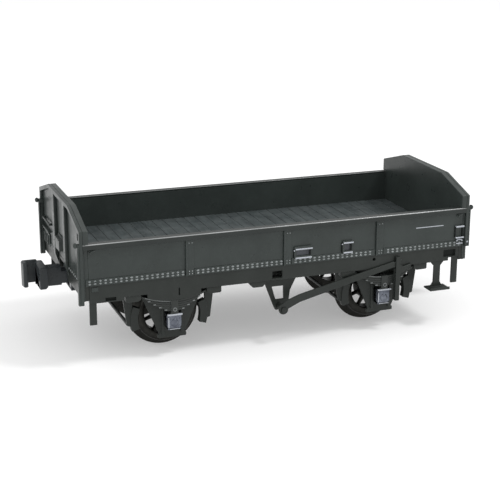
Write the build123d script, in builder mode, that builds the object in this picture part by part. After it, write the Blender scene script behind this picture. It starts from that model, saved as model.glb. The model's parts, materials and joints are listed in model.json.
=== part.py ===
from build123d import *

import os
from math import atan2, cos, radians, sin

# Low-sided two-axle wagon model for 9 mm gauge track, about 1/150 of full size.
# The near side faces -Y, the left end faces -X, and z = 0 touches the wheel flanges.
# Half a turn about Z brings nearly every piece onto itself or onto its namesake, so one
# side and one end are modelled and the others are turned copies.

os.makedirs("parts", exist_ok=True)

# ---- driving dimensions, in millimetres -------------------------------------

body_length = 37.9
body_width = 17.1
wheelbase = 20.8
wheel_diameter = 5.6
flange_depth = 0.6
back_to_back = 7.5
axle_length = 14.5

rail_z = flange_depth
axle_z = rail_z + wheel_diameter / 2
sole_bottom_z = rail_z + 5.8
sole_top_z = rail_z + 7.15
floor_bottom_z = rail_z + 7.35
floor_top_z = rail_z + 7.95
side_top_z = rail_z + 11.0
shoulder_z = rail_z + 12.2
end_top_z = rail_z + 13.5
shoulder_run = 4.4

sheet = 0.4
side_y = 8.25
rib_depth = 0.3
sole_drop = 0.3
sole_rise = 0.3
rail_flange = 0.7
rail_leaf = 0.2
rail_leg = 0.5
end_outer_x = body_length / 2
end_face_x = end_outer_x - rib_depth
end_inner_x = end_face_x - 0.5
end_rib_y = 2.23
end_rib_width = 0.8
post_width = 0.15
stanchion_width = 0.75
stanchion_x = (-9.0, 0.35, 9.65)

notch_half_width = 1.75
notch_top_z = rail_z + 7.0
chassis_z = rail_z + 6.75
weight_z = rail_z + 7.05

guard_y = 6.95
guard_thickness = 0.3
cup_radius = 0.62
spring_y = 7.35
spring_width = 0.65
spring_half = 3.0
spring_eye_z = rail_z + 5.4
spring_sag = 0.66
leaf = 0.2
leaf_count = 5
box_top_z = rail_z + 3.65
box_bottom_z = rail_z + 2.15

shaft_z = rail_z + 2.9
shaft_radius = 0.25
lever_y = 8.3
guide_x = 11.56

drawbar_z = rail_z + 5.75
pivot_x = 17.75
shank_width = 1.2
tail_height = 1.2
pocket_front_x = 18.3
pocket_back_x = 14.2
pocket_half_width = 1.6
pocket_roof_z = rail_z + 6.55
pocket_floor_z = rail_z + 4.85

half_turn = Rot(0, 0, 180)


# ---- helpers ----------------------------------------------------------------


def near_plane(y):
    """Plane facing the near side at distance y from the middle, local x = X, y = Z."""
    return Plane(origin=(0, -y, 0), x_dir=(1, 0, 0), z_dir=(0, -1, 0))


def left_plane(x):
    """Plane facing the left end at distance x from the middle, local x = -Y, y = Z."""
    return Plane(origin=(-x, 0, 0), x_dir=(0, -1, 0), z_dir=(-1, 0, 0))


def block(x0, x1, y0, y1, z0, z1, mode=Mode.ADD):
    """Box between two opposite corners."""
    with Locations(((x0 + x1) / 2, (y0 + y1) / 2, (z0 + z1) / 2)):
        Box(abs(x1 - x0), abs(y1 - y0), abs(z1 - z0), mode=mode)


def rod(start, end, radius):
    """Round bar from start to end."""
    run = Vector(*end) - Vector(*start)
    with Locations(Plane(origin=start, z_dir=run)):
        Cylinder(radius, run.length, align=(Align.CENTER, Align.CENTER, Align.MIN))


def save(part, name):
    """Label one finished piece and write it."""
    part.label = name
    export_step(part, f"parts/{name}.step")


def save_both_ends(part, name):
    """Write a left end piece and its copy at the right end."""
    save(part, f"{name}_left")
    save(half_turn * part, f"{name}_right")


def save_both_sides(part, name):
    """Write a near side piece and its copy on the far side."""
    save(part, f"{name}_near")
    save(half_turn * part, f"{name}_far")


def save_four_corners(part, name):
    """Write a left near wheel's piece and its copies at the other three wheels."""
    right_near = Pos(wheelbase, 0, 0) * part
    save_both_sides(part, f"{name}_left")
    save_both_sides(right_near, f"{name}_right")


# ---- body -------------------------------------------------------------------


def make_load_floor():
    """Floor of boards laid across the wagon."""
    board_count = 32
    groove = 0.08
    floor_half_y = side_y - sheet
    board = 2 * end_inner_x / board_count
    with BuildPart() as floor:
        block(-end_inner_x, end_inner_x, -floor_half_y, floor_half_y, floor_bottom_z, floor_top_z)
        with Locations((0, 0, floor_top_z)):
            with GridLocations(board, 1, board_count - 1, 1):
                Box(groove, 2 * floor_half_y, groove, mode=Mode.SUBTRACT)
    save(floor.part, "load_floor")


def make_side_sheet():
    with BuildPart() as side:
        block(-end_inner_x, end_inner_x, -side_y, sheet - side_y, sole_top_z, side_top_z - rail_leaf)
    save_both_sides(side.part, "side_sheet")


def make_top_rail():
    outer_y = body_width / 2
    with BuildPart() as rail:
        with BuildSketch(Plane.YZ.offset(-end_inner_x)):
            with BuildLine():
                Polyline(
                    (-outer_y, side_top_z),
                    (rail_flange - outer_y, side_top_z),
                    (rail_flange - outer_y, side_top_z - rail_leaf),
                    (-side_y, side_top_z - rail_leaf),
                    (-side_y, side_top_z - rail_leg),
                    (-outer_y, side_top_z - rail_leg),
                    close=True,
                )
            make_face()
        extrude(amount=2 * end_inner_x)
        fillet(rail.edges().filter_by(Axis.X).group_by(Axis.Z)[-1], 0.05)
        for side in (-1, 1):
            block(side * end_inner_x, side * end_face_x, -outer_y, -side_y, side_top_z - rail_leg, side_top_z)
    save_both_sides(rail.part, "top_rail")


def make_stanchions():
    standing_leg = 0.16
    flat_leg = 0.09
    proud = 0.2
    top = side_top_z - rail_leg
    bottom = sole_top_z
    with BuildPart() as near:
        for x in stanchion_x:
            x0 = x - stanchion_width / 2
            block(x0, x0 + stanchion_width, -side_y, -side_y - flat_leg, bottom, top)
            block(x0, x0 + standing_leg, -side_y, -side_y - proud, bottom, top)
    with BuildPart() as both:
        add(near.part)
        add(half_turn * near.part)
    save(both.part, "side_stanchions")


def make_curb_angles():
    proud = 0.08
    top = sole_top_z + 0.6
    gap = 0.06
    outermost = end_face_x - post_width - gap
    clear = stanchion_width / 2 + gap
    starts = [-outermost] + [x + clear for x in stanchion_x]
    stops = [x - clear for x in stanchion_x] + [outermost]
    with BuildPart() as near:
        for x0, x1 in zip(starts, stops):
            block(x0, x1, -side_y, -side_y - proud, sole_top_z, top)
    with BuildPart() as both:
        add(near.part)
        add(half_turn * near.part)
    save(both.part, "curb_angles")


def make_corner_posts():
    """Thin beads where the sides meet the ends, and straps down the corners of the ends."""
    proud = 0.06
    strap = 0.18
    strap_width = 0.4
    strap_top_z = side_top_z - 0.2
    with BuildPart() as posts:
        for x_side in (-1, 1):
            for y_side in (-1, 1):
                x0 = x_side * (end_face_x - post_width)
                x1 = x_side * end_face_x
                y0 = y_side * side_y
                block(x0, x1, y0, y0 + y_side * proud, sole_bottom_z, side_top_z - rail_leg)
                x0 = x_side * end_outer_x
                x1 = x_side * (end_outer_x + strap)
                y0 = y_side * body_width / 2
                foot_z = sole_top_z if x_side > 0 else sole_bottom_z - sole_drop
                block(x0, x1, y0, y0 - y_side * strap_width, foot_z, strap_top_z)
    save(posts.part, "corner_posts")


def end_outline(bottom_z, inset=0.0):
    """Corner points of an end seen square on, inset all round but not at the bottom."""
    half_width = body_width / 2
    slope = atan2(end_top_z - shoulder_z, shoulder_run)
    shoulder_drop = inset * (1 - sin(slope)) / cos(slope)
    crown_shift = inset * (1 - cos(slope)) / sin(slope)
    right_half = [
        (half_width - inset, bottom_z),
        (half_width - inset, shoulder_z - shoulder_drop),
        (half_width - shoulder_run - crown_shift, end_top_z - inset),
    ]
    return right_half + [(-y, z) for y, z in reversed(right_half)]


def make_end_plate():
    with BuildPart() as plate:
        with BuildSketch(left_plane(end_inner_x)):
            with BuildLine():
                Polyline(*end_outline(floor_bottom_z), close=True)
            make_face()
        extrude(amount=end_face_x - end_inner_x)
        for side in (-1, 1):
            block(-end_inner_x, -end_face_x, side * side_y, side * body_width, 0, side_top_z, Mode.SUBTRACT)
    save_both_ends(plate.part, "end_plate")


def make_end_stiffeners():
    """Outer frame and two ribs. The right end's frame is stepped in below the floor."""
    strip = 0.4
    frame_foot_z = sole_bottom_z - sole_drop
    foot_z = rail_z + 6.35
    with BuildPart() as frame:
        with BuildSketch(left_plane(end_face_x)):
            with BuildLine():
                Polyline(*end_outline(frame_foot_z), close=True)
            make_face()
            with BuildLine():
                Polyline(*end_outline(frame_foot_z - strip, strip), close=True)
            make_face(mode=Mode.SUBTRACT)
            for side in (-1, 1):
                with Locations((side * end_rib_y, (foot_z + end_top_z - strip) / 2)):
                    Rectangle(end_rib_width, end_top_z - strip - foot_z)
        extrude(amount=rib_depth)
        with BuildSketch(Plane.XZ):
            with BuildLine():
                Polyline(
                    (-end_outer_x, foot_z),
                    (-end_outer_x, foot_z + 0.95),
                    (0.03 - end_face_x, foot_z),
                    close=True,
                )
            make_face()
        extrude(amount=end_rib_y + end_rib_width, both=True, mode=Mode.SUBTRACT)
        outer = frame.faces().sort_by(Axis.X)[0]
        chamfer(outer.edges().filter_by(Axis.Z), 0.04)
    save(frame.part, "end_stiffeners_left")
    with BuildPart() as stepped:
        add(half_turn * frame.part)
        for side in (-1, 1):
            block(end_face_x, end_outer_x, side * (side_y - strip), side * body_width, 0, sole_top_z, Mode.SUBTRACT)
            block(end_face_x, end_outer_x, side * (side_y - strip), side * side_y, sole_bottom_z, sole_top_z)
    save(stepped.part, "end_stiffeners_right")


# ---- underframe -------------------------------------------------------------


def make_solebar():
    """Channel on edge: deeper at its left end and over the left spring, cut away at its right end."""
    web = 0.35
    flange = 0.2
    flange_y = 7.35
    drop_x = 15.0
    rise_x = 17.1
    pocket_depth = 0.27
    bolt_hole = (9.2, rail_z + 6.74)
    left_pocket = (-16.7, -15.75, sole_bottom_z - 0.2, sole_bottom_z + 0.12)
    right_pocket = (16.55, 17.85, rail_z + 6.2, rail_z + 6.9)
    spring_clear = 2.5
    dip_z = spring_eye_z - 0.02
    dip_low_z = spring_eye_z - 0.42
    joint_line = (-10.02, -9.9, rail_z + 5.4, rail_z + 6.1)
    middle_slot = (-1.06, -0.08, sole_bottom_z + 0.15, rail_z + 6.65)
    with BuildPart() as sole:
        block(-end_inner_x, end_inner_x, -side_y, web - side_y, sole_bottom_z, sole_top_z)
        block(-end_inner_x, -drop_x, -side_y, web - side_y, sole_bottom_z - sole_drop, sole_bottom_z)
        block(-drop_x, end_inner_x, web - side_y, -flange_y, sole_bottom_z, sole_bottom_z + flange)
        block(rise_x, end_inner_x, -side_y, -flange_y, sole_bottom_z, sole_bottom_z + sole_rise, Mode.SUBTRACT)
        with BuildSketch(near_plane(side_y - web)):
            left = -wheelbase / 2 - spring_clear
            right = -wheelbase / 2 + spring_clear
            dip_top_z = sole_bottom_z + 0.1
            with BuildLine():
                ThreePointArc((left, dip_z), (-wheelbase / 2, dip_low_z), (right, dip_z))
                Polyline((right, dip_z), (right, dip_top_z), (left, dip_top_z), (left, dip_z))
            make_face()
        extrude(amount=web)
        for x0, x1, z0, z1 in (left_pocket, right_pocket, joint_line):
            block(x0, x1, -side_y, pocket_depth - side_y, z0, z1, Mode.SUBTRACT)
        x0, x1, z0, z1 = middle_slot
        block(x0, x1, -side_y, web - side_y, z0, z1, Mode.SUBTRACT)
        with BuildSketch(near_plane(side_y - web)):
            with Locations(bolt_hole):
                Circle(0.14)
        extrude(amount=web, mode=Mode.SUBTRACT)
    save_both_sides(sole.part, "solebar")


def make_headstock():
    with BuildPart() as beam:
        block(-end_face_x, -end_inner_x, -side_y, side_y, sole_bottom_z, floor_bottom_z)
        block(-end_face_x, -end_inner_x, -notch_half_width, notch_half_width, 0, notch_top_z, Mode.SUBTRACT)
        corners = beam.edges().filter_by(Axis.X).group_by(Axis.Z)[0]
        inner_corners = corners.sort_by(lambda edge: abs(edge.center().Y))[:2]
        chamfer(inner_corners, 0.25)
    save_both_ends(beam.part, "headstock")


def make_chassis_plate():
    half_x = 17.6
    half_y = 7.6
    screw_hole = 0.45
    with BuildPart() as plate:
        block(-half_x, half_x, -half_y, half_y, chassis_z, weight_z)
        with Locations((-4, 0, chassis_z), (4, 0, chassis_z)):
            Cylinder(screw_hole, 4 * (weight_z - chassis_z), mode=Mode.SUBTRACT)
    save(plate.part, "chassis_plate")


def make_ballast_weight():
    with BuildPart() as weight:
        block(-16.4, 16.4, -7.0, 7.0, weight_z, floor_bottom_z)
        fillet(weight.edges().filter_by(Axis.Z), 0.8)
        with Locations((-4, 0, weight_z), (4, 0, weight_z)):
            Cylinder(0.45, 4 * (floor_bottom_z - weight_z), mode=Mode.SUBTRACT)
    save(weight.part, "ballast_weight")


def make_axle_guard():
    tie_z = rail_z + 1.15
    tie_top_z = rail_z + 1.55
    axle_x = -wheelbase / 2
    with BuildPart() as guard:
        with BuildSketch(near_plane(guard_y)):
            with BuildLine():
                half = [
                    (3.1, chassis_z),
                    (3.1, rail_z + 5.9),
                    (2.55, rail_z + 4.7),
                    (1.2, tie_top_z),
                ]
                left = [(axle_x - x, z) for x, z in half]
                right = [(axle_x + x, z) for x, z in reversed(half)]
                Polyline(*left, *right, close=True)
            make_face()
            with Locations((axle_x, (tie_z + tie_top_z) / 2)):
                RectangleRounded(2.7, tie_top_z - tie_z, 0.12)
            with Locations((axle_x, axle_z)):
                Circle(cup_radius, mode=Mode.SUBTRACT)
        extrude(amount=guard_thickness)
        horn_depth = 0.18
        outer = guard_y + guard_thickness
        for side in (-1, 1):
            x0 = axle_x + side * 0.78
            x1 = axle_x + side * 1.02
            block(x0, x1, -outer, -outer - horn_depth, tie_top_z, rail_z + 4.0)
    save_four_corners(guard.part, "axle_guard")


def make_bearings():
    cup_depth = 0.65
    lip = 0.15
    mouth = 0.5
    with BuildPart() as cup:
        with BuildSketch(Plane.XY):
            with BuildLine():
                Polyline(
                    (mouth, 0),
                    (cup_radius + 0.2, 0),
                    (cup_radius + 0.2, lip),
                    (cup_radius, lip),
                    (cup_radius, cup_depth),
                    (0, cup_depth),
                    (0, 0.52),
                    (0.03, 0.52),
                    close=True,
                )
            make_face()
        revolve(axis=Axis.Y)
    with BuildPart() as cups:
        for x_side in (-1, 1):
            for turn in (0, 180):
                place = Pos(x_side * wheelbase / 2, 0, axle_z) * Rot(0, 0, turn)
                add(place * Pos(0, guard_y - lip, 0) * cup.part)
    save(cups.part, "pinpoint_bearings")


def make_axlebox():
    axle_x = -wheelbase / 2
    half = 0.7
    back = guard_y + guard_thickness
    front = back + 0.75
    with BuildPart() as box:
        block(axle_x - half, axle_x + half, -back, -front, box_bottom_z, box_top_z)
        fillet(box.edges().filter_by(Axis.Y), 0.12)
        block(axle_x - 0.62, axle_x + 0.62, -front, -front - 0.12, box_bottom_z + 0.15, box_top_z - 0.1)
        block(axle_x - 0.5, axle_x + 0.5, -front - 0.12, -front - 0.26, box_bottom_z + 0.3, box_top_z - 0.45)
        block(axle_x - 0.72, axle_x + 0.72, -back, -front - 0.2, box_top_z - 0.12, box_top_z)
        with Locations((axle_x, -front - 0.12, box_top_z - 0.28)):
            Cylinder(0.13, 0.3, rotation=(90, 0, 0))
        with BuildSketch(near_plane(back)):
            with Locations((axle_x, axle_z)):
                Circle(cup_radius)
        extrude(amount=0.25, mode=Mode.SUBTRACT)
    save_four_corners(box.part, "axlebox")


def leaf_height(x, offset):
    """Underside of the top leaf at x from the buckle, lowered by offset."""
    return spring_eye_z - spring_sag * (1 - (x / spring_half) ** 2) - offset


def make_leaf_spring():
    axle_x = -wheelbase / 2
    with BuildPart() as spring:
        with BuildSketch(near_plane(spring_y)):
            for number in range(leaf_count):
                half = spring_half * (1 - 0.17 * number)
                low = leaf * number
                with BuildLine():
                    ThreePointArc(
                        (axle_x - half, leaf_height(half, low)),
                        (axle_x, leaf_height(0, low)),
                        (axle_x + half, leaf_height(half, low)),
                    )
                    Line(
                        (axle_x + half, leaf_height(half, low)),
                        (axle_x + half, leaf_height(half, low - leaf)),
                    )
                    ThreePointArc(
                        (axle_x + half, leaf_height(half, low - leaf)),
                        (axle_x, leaf_height(0, low - leaf)),
                        (axle_x - half, leaf_height(half, low - leaf)),
                    )
                    Line(
                        (axle_x - half, leaf_height(half, low - leaf)),
                        (axle_x - half, leaf_height(half, low)),
                    )
                make_face()
        extrude(amount=spring_width)
        buckle_top = leaf_height(0, -leaf) + 0.06
        block(axle_x - 0.32, axle_x + 0.32, -spring_y, -spring_y - spring_width - 0.12, box_top_z, buckle_top)
        with Locations((axle_x, -spring_y - spring_width - 0.12, box_top_z + 0.45)):
            Cylinder(0.12, 0.2, rotation=(90, 0, 0))
    save_four_corners(spring.part, "leaf_spring")


def make_spring_shoes():
    shoe_near = 3.05
    shoe_far = 4.45
    front = spring_y + spring_width + 0.15
    with BuildPart() as near:
        for axle_x in (-wheelbase / 2, wheelbase / 2):
            for side in (-1, 1):
                with BuildSketch(near_plane(spring_y)):
                    with BuildLine():
                        Polyline(
                            (axle_x + side * shoe_near, sole_bottom_z),
                            (axle_x + side * shoe_near, sole_bottom_z - 0.45),
                            (axle_x + side * (shoe_near + 0.35), sole_bottom_z - 0.62),
                            (axle_x + side * (shoe_far - 0.1), sole_bottom_z - 0.6),
                            (axle_x + side * shoe_far, sole_bottom_z - 0.5),
                            (axle_x + side * shoe_far, sole_bottom_z),
                            close=True,
                        )
                    make_face()
                extrude(amount=front - spring_y)
    with BuildPart() as both:
        add(near.part)
        add(half_turn * near.part)
    save(both.part, "spring_shoes")


def make_door_stops():
    with BuildPart() as stop:
        with BuildSketch(near_plane(7.4)):
            with BuildLine():
                low = sole_bottom_z - 0.55
                Polyline((-3.2, sole_bottom_z), (-3.2, sole_bottom_z - 0.2), (-2.9, low))
                Line((-2.9, low), (-1.95, low))
                Polyline((-1.95, low), (-1.65, sole_bottom_z - 0.2), (-1.65, sole_bottom_z))
                Line((-1.65, sole_bottom_z), (-3.2, sole_bottom_z))
            make_face()
        extrude(amount=0.75)
        fillet(stop.edges().filter_by(Axis.Y).group_by(Axis.Z)[0], 0.18)
    with BuildPart() as both:
        add(stop.part)
        add(half_turn * stop.part)
    save(both.part, "door_stops")


# ---- wheelsets --------------------------------------------------------------

tyre_width = 1.5
flange_width = 0.45
axle_radius = 0.6
bush_radius = 0.85
hub_radius = 1.25
rim_radius = 2.0


def make_axle(x, name):
    """Axle with a pinpoint at each end."""
    half = axle_length / 2
    with BuildPart() as axle:
        with BuildSketch(Plane.XY):
            with BuildLine():
                Polyline(
                    (0, 0),
                    (axle_radius, 0),
                    (axle_radius, half - 0.85),
                    (0.4, half - 0.85),
                    (0.4, half - 0.4),
                    (0.03, half - 0.03),
                    (0, half - 0.03),
                    close=True,
                )
            make_face()
        revolve(axis=Axis.Y)
        mirror(about=Plane.XZ)
    save(Pos(x, 0, axle_z) * axle.part, name)


def wheel_blank():
    """Spoked wheel on the Y axis, its flange towards +Y and its back face at y = 0."""
    tread = wheel_diameter / 2
    spoke_count = 9
    with BuildPart() as wheel:
        with BuildSketch(Plane.XY):
            with BuildLine():
                Polyline(
                    (rim_radius, 0),
                    (tread + 0.15, 0),
                    (tread + flange_depth, -0.16),
                    (tread + flange_depth, -0.26),
                    (tread + 0.12, -flange_width),
                    (tread, -flange_width - 0.1),
                    (tread - 0.06, -tyre_width),
                    (rim_radius, -tyre_width),
                    close=True,
                )
            make_face()
            with BuildLine():
                Polyline(
                    (bush_radius, 0),
                    (hub_radius, 0),
                    (hub_radius - 0.1, -tyre_width - 0.15),
                    (bush_radius, -tyre_width - 0.15),
                    close=True,
                )
            make_face()
        revolve(axis=Axis.Y)
        with BuildSketch(near_plane(0.45)):
            with PolarLocations(0, spoke_count):
                with BuildLine():
                    Polyline(
                        (hub_radius - 0.2, -0.2),
                        (rim_radius + 0.1, -0.13),
                        (rim_radius + 0.1, 0.13),
                        (hub_radius - 0.2, 0.2),
                        close=True,
                    )
                make_face()
        extrude(amount=0.7)
    return wheel.part


def make_wheelsets():
    near_wheel = Pos(0, -back_to_back / 2, 0) * wheel_blank()
    hub_length = tyre_width + 0.15
    with BuildPart() as bushes:
        for side in (-1, 1):
            with BuildSketch(Plane.XZ.offset(side * (back_to_back + hub_length) / 2)):
                Circle(bush_radius)
                Circle(axle_radius, mode=Mode.SUBTRACT)
            extrude(amount=hub_length / 2, both=True)
    for x, end in ((-wheelbase / 2, "left"), (wheelbase / 2, "right")):
        centre = Pos(x, 0, axle_z)
        make_axle(x, f"axle_{end}")
        save(centre * near_wheel, f"wheel_{end}_near")
        save(centre * half_turn * near_wheel, f"wheel_{end}_far")
        save(centre * bushes.part, f"axle_bushes_{end}")


# ---- brake gear -------------------------------------------------------------

block_inner = wheel_diameter / 2 + 0.15
block_outer = block_inner + 0.7
hanger_y = 6.05
beam_z = axle_z - 0.35


def make_brake_blocks():
    """Eight blocks beside the wheels, each on a hanger that widens towards the chassis."""
    low_turn = radians(-16)
    high_turn = radians(22)
    with BuildPart() as one:
        with BuildSketch(near_plane(5.85)):
            with BuildLine():
                inner_a = (block_inner * cos(high_turn), block_inner * sin(high_turn))
                inner_b = (block_inner * cos(low_turn), block_inner * sin(low_turn))
                outer_a = (block_outer * cos(high_turn), block_outer * sin(high_turn))
                outer_b = (block_outer * cos(low_turn), block_outer * sin(low_turn))
                ThreePointArc(inner_a, (block_inner, 0), inner_b)
                Line(inner_b, outer_b)
                ThreePointArc(outer_b, (block_outer, 0), outer_a)
                Line(outer_a, inner_a)
            make_face()
        extrude(amount=0.65)
        with BuildSketch(near_plane(hanger_y)):
            with BuildLine():
                Polyline(
                    (block_outer - 0.15, -0.6),
                    (block_outer + 0.3, -0.45),
                    (block_outer + 0.75, chassis_z - axle_z - 0.8),
                    (block_outer + 0.75, chassis_z - axle_z),
                    (block_outer - 0.3, chassis_z - axle_z),
                    (block_outer - 0.2, 0.4),
                    close=True,
                )
            make_face()
        extrude(amount=0.3)
    with BuildPart() as blocks:
        for axle_x in (-wheelbase / 2, wheelbase / 2):
            centre = Pos(axle_x, 0, axle_z)
            add(centre * one.part)
            add(centre * half_turn * one.part)
            add(centre * mirror(one.part, about=Plane.YZ, mode=Mode.PRIVATE))
            add(centre * mirror(one.part, about=Plane.XZ, mode=Mode.PRIVATE))
    save(blocks.part, "brake_blocks")


def make_brake_rigging():
    """Cross beams between the blocks."""
    beam_radius = 0.16
    beam_x = block_outer + beam_radius + 0.02
    with BuildPart() as rigging:
        for axle_x in (-wheelbase / 2, wheelbase / 2):
            for side in (-1, 1):
                x = axle_x + side * beam_x
                rod((x, -hanger_y, beam_z), (x, hanger_y, beam_z), beam_radius)
    save(rigging.part, "brake_rigging")


def make_brake_shaft():
    """Short shaft at each side, from the vee hanger out through the lever."""
    inner_y = 6.7
    outer_y = lever_y + 0.3
    with BuildPart() as shaft:
        for side in (-1, 1):
            rod((0, side * inner_y, shaft_z), (0, side * outer_y, shaft_z), shaft_radius)
    save(shaft.part, "brake_shaft")


def make_vee_hangers():
    """Hanger for the brake shaft: a slanted leg, an upright leg and a web between them."""
    web_z = shaft_z + 1.9
    crotch_z = shaft_z + 0.6
    foot_z = shaft_z - 0.42
    with BuildPart() as near:
        with BuildSketch(near_plane(6.9)):
            with BuildLine():
                Polyline(
                    (-1.6, chassis_z),
                    (-1.6, sole_bottom_z),
                    (-0.5, shaft_z),
                    (-0.3, foot_z),
                    (0.5, foot_z),
                    (1.0, shaft_z + 0.2),
                    (1.14, shaft_z + 1.4),
                    (1.75, sole_bottom_z - 0.3),
                    (1.75, chassis_z),
                    close=True,
                )
            make_face()
            with BuildLine():
                Polyline(
                    (-0.68, web_z),
                    (0.48, web_z),
                    (0.52, crotch_z),
                    (-0.3, crotch_z),
                    close=True,
                )
            make_face(mode=Mode.SUBTRACT)
            with Locations((0, shaft_z)):
                Circle(shaft_radius, mode=Mode.SUBTRACT)
        extrude(amount=0.25)
    with BuildPart() as both:
        add(near.part)
        add(half_turn * near.part)
    save(both.part, "vee_hangers")


def make_brake_lever():
    """Long lever that tapers towards its handle, cranked down behind the guide."""
    thickness = 0.2
    lower_edge = ((1.6, 4.07), (6.35, 5.25), (11.7, 6.55))
    upper_edge = ((12.0, 7.15), (6.35, 5.92), (1.6, 4.83), (0.25, 4.35))
    handle = ((11.4, 7.0), (11.4, 5.75), (12.0, 5.85), (13.0, 6.25), (13.0, 6.62), (12.2, 6.4), (11.9, 6.6))
    with BuildPart() as lever:
        with BuildSketch(near_plane(lever_y)):
            with BuildLine():
                Polyline((-0.3, 3.2), *lower_edge, *upper_edge, (-0.45, 3.9), close=True)
            make_face()
            with BuildLine():
                Polyline(*handle, close=True)
            make_face()
            with Locations((0, shaft_z)):
                Circle(0.46)
                Circle(shaft_radius, mode=Mode.SUBTRACT)
        extrude(amount=thickness)
    save_both_sides(lever.part, "brake_lever")


def make_lever_guides():
    """A strap that fastens to the solebar and passes behind and in front of the lever."""
    half = 0.22
    foot_z = rail_z + 2.5
    pad_z = rail_z + 6.62
    top_z = rail_z + 6.83
    front = lever_y + 0.2
    with BuildPart() as guide:
        block(guide_x - half, guide_x + half, -front, -front - 0.15, foot_z, top_z)
        block(guide_x - half, guide_x + half, -side_y, -front, pad_z, top_z)
        block(guide_x - half, guide_x + half, 0.2 - side_y, -front, foot_z, foot_z + 0.2)
        block(guide_x - half, guide_x + half, 0.2 - side_y, -side_y, foot_z, sole_bottom_z)
    with BuildPart() as both:
        add(guide.part)
        add(half_turn * guide.part)
    save(both.part, "lever_guides")


# ---- steps, irons and small fittings ----------------------------------------


def make_side_steps():
    """Step under the solebar, flared where it joins the solebar and the tread."""
    hanger_x0 = 15.6
    hanger_x1 = 16.3
    tread_z = rail_z + 3.3
    with BuildPart() as step:
        with BuildSketch(near_plane(8.0)):
            with BuildLine():
                Polyline(
                    (hanger_x0 - 0.35, sole_bottom_z),
                    (hanger_x0, sole_bottom_z - 0.4),
                    (hanger_x0, tread_z + 0.5),
                    (hanger_x0 - 0.3, tread_z),
                    (hanger_x1 + 0.3, tread_z),
                    (hanger_x1, tread_z + 0.5),
                    (hanger_x1, sole_bottom_z - 0.4),
                    (hanger_x1 + 0.35, sole_bottom_z),
                    close=True,
                )
            make_face()
        extrude(amount=0.2)
        middle = (hanger_x0 + hanger_x1) / 2
        block(middle - 1.05, middle + 1.05, -7.6, -9.0, tread_z - 0.16, tread_z)
        block(middle - 1.05, middle + 1.05, -8.9, -9.0, tread_z, tread_z + 0.12)
    with BuildPart() as both:
        add(step.part)
        add(half_turn * step.part)
    save(both.part, "side_steps")


def make_corner_irons():
    iron_z = rail_z + 3.5
    iron_x0 = 17.5
    with BuildPart() as irons:
        for y_side in (-1, 1):
            deep = y_side * iron_x0
            shallow = -y_side * iron_x0
            y0 = y_side * 8.0
            y1 = y_side * 8.2
            block(deep, y_side * end_inner_x, y0, y1, iron_z, sole_bottom_z - sole_drop)
            block(shallow, -y_side * end_inner_x, y0, y1, iron_z, sole_bottom_z + sole_rise)
    save(irons.part, "corner_irons")


def holder_frame(x, z, width, height, bar):
    """Small open frame standing on the near side sheet."""
    half_w = width / 2
    half_h = height / 2
    back = -side_y
    block(x - half_w, x + half_w, back, back - 0.06, z - half_h, z + half_h)
    block(x - half_w, x + half_w, back, back - 0.2, z + half_h - bar, z + half_h)
    block(x - half_w, x + half_w, back, back - 0.2, z - half_h, z - half_h + bar)
    block(x - half_w, x - half_w + bar, back, back - 0.16, z - half_h, z + half_h)
    block(x + half_w - bar, x + half_w, back, back - 0.16, z - half_h, z + half_h)


def make_label_holders():
    with BuildPart() as near:
        holder_frame(1.87, rail_z + 8.3, 1.7, 1.05, 0.16)
        holder_frame(6.35, rail_z + 8.33, 1.0, 1.12, 0.18)
    with BuildPart() as both:
        add(near.part)
        add(half_turn * near.part)
    save(both.part, "label_holders")


def make_corner_fittings():
    """Rope hooks and rail pins at every corner, and a grab iron by each side's right corner."""
    grab_y = -side_y - 0.21
    grab_low = rail_z + 8.1
    grab_high = rail_z + 9.2
    grab_x0 = 17.62
    grab_x1 = 18.42
    wire = 0.07
    hook_z = rail_z + 10.25
    pin_z = side_top_z + 0.05
    with BuildPart() as corner:
        block(17.7, 18.4, -side_y, -side_y - 0.22, hook_z, hook_z + 0.14)
        block(18.26, 18.4, -side_y - 0.14, -side_y - 0.22, hook_z, hook_z + 0.26)
        rod((end_outer_x, -8.3, pin_z), (end_outer_x + 0.5, -8.3, pin_z), 0.2)
    with BuildPart() as grab:
        for z in (grab_low, grab_high):
            rod((grab_x0, -side_y, z), (grab_x0, grab_y - wire, z), wire)
            rod((grab_x1, -side_y, z), (grab_x1, grab_y - wire, z), wire)
            rod((grab_x0 - wire, grab_y, z), (grab_x1 + wire, grab_y, z), wire)
        rod((grab_x0, grab_y, grab_low), (grab_x0, grab_y, grab_high), wire)
    with BuildPart() as fittings:
        add(corner.part)
        add(half_turn * corner.part)
        add(mirror(corner.part, about=Plane.YZ, mode=Mode.PRIVATE))
        add(mirror(corner.part, about=Plane.XZ, mode=Mode.PRIVATE))
        add(grab.part)
        add(half_turn * grab.part)
    save(fittings.part, "corner_fittings")


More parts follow.
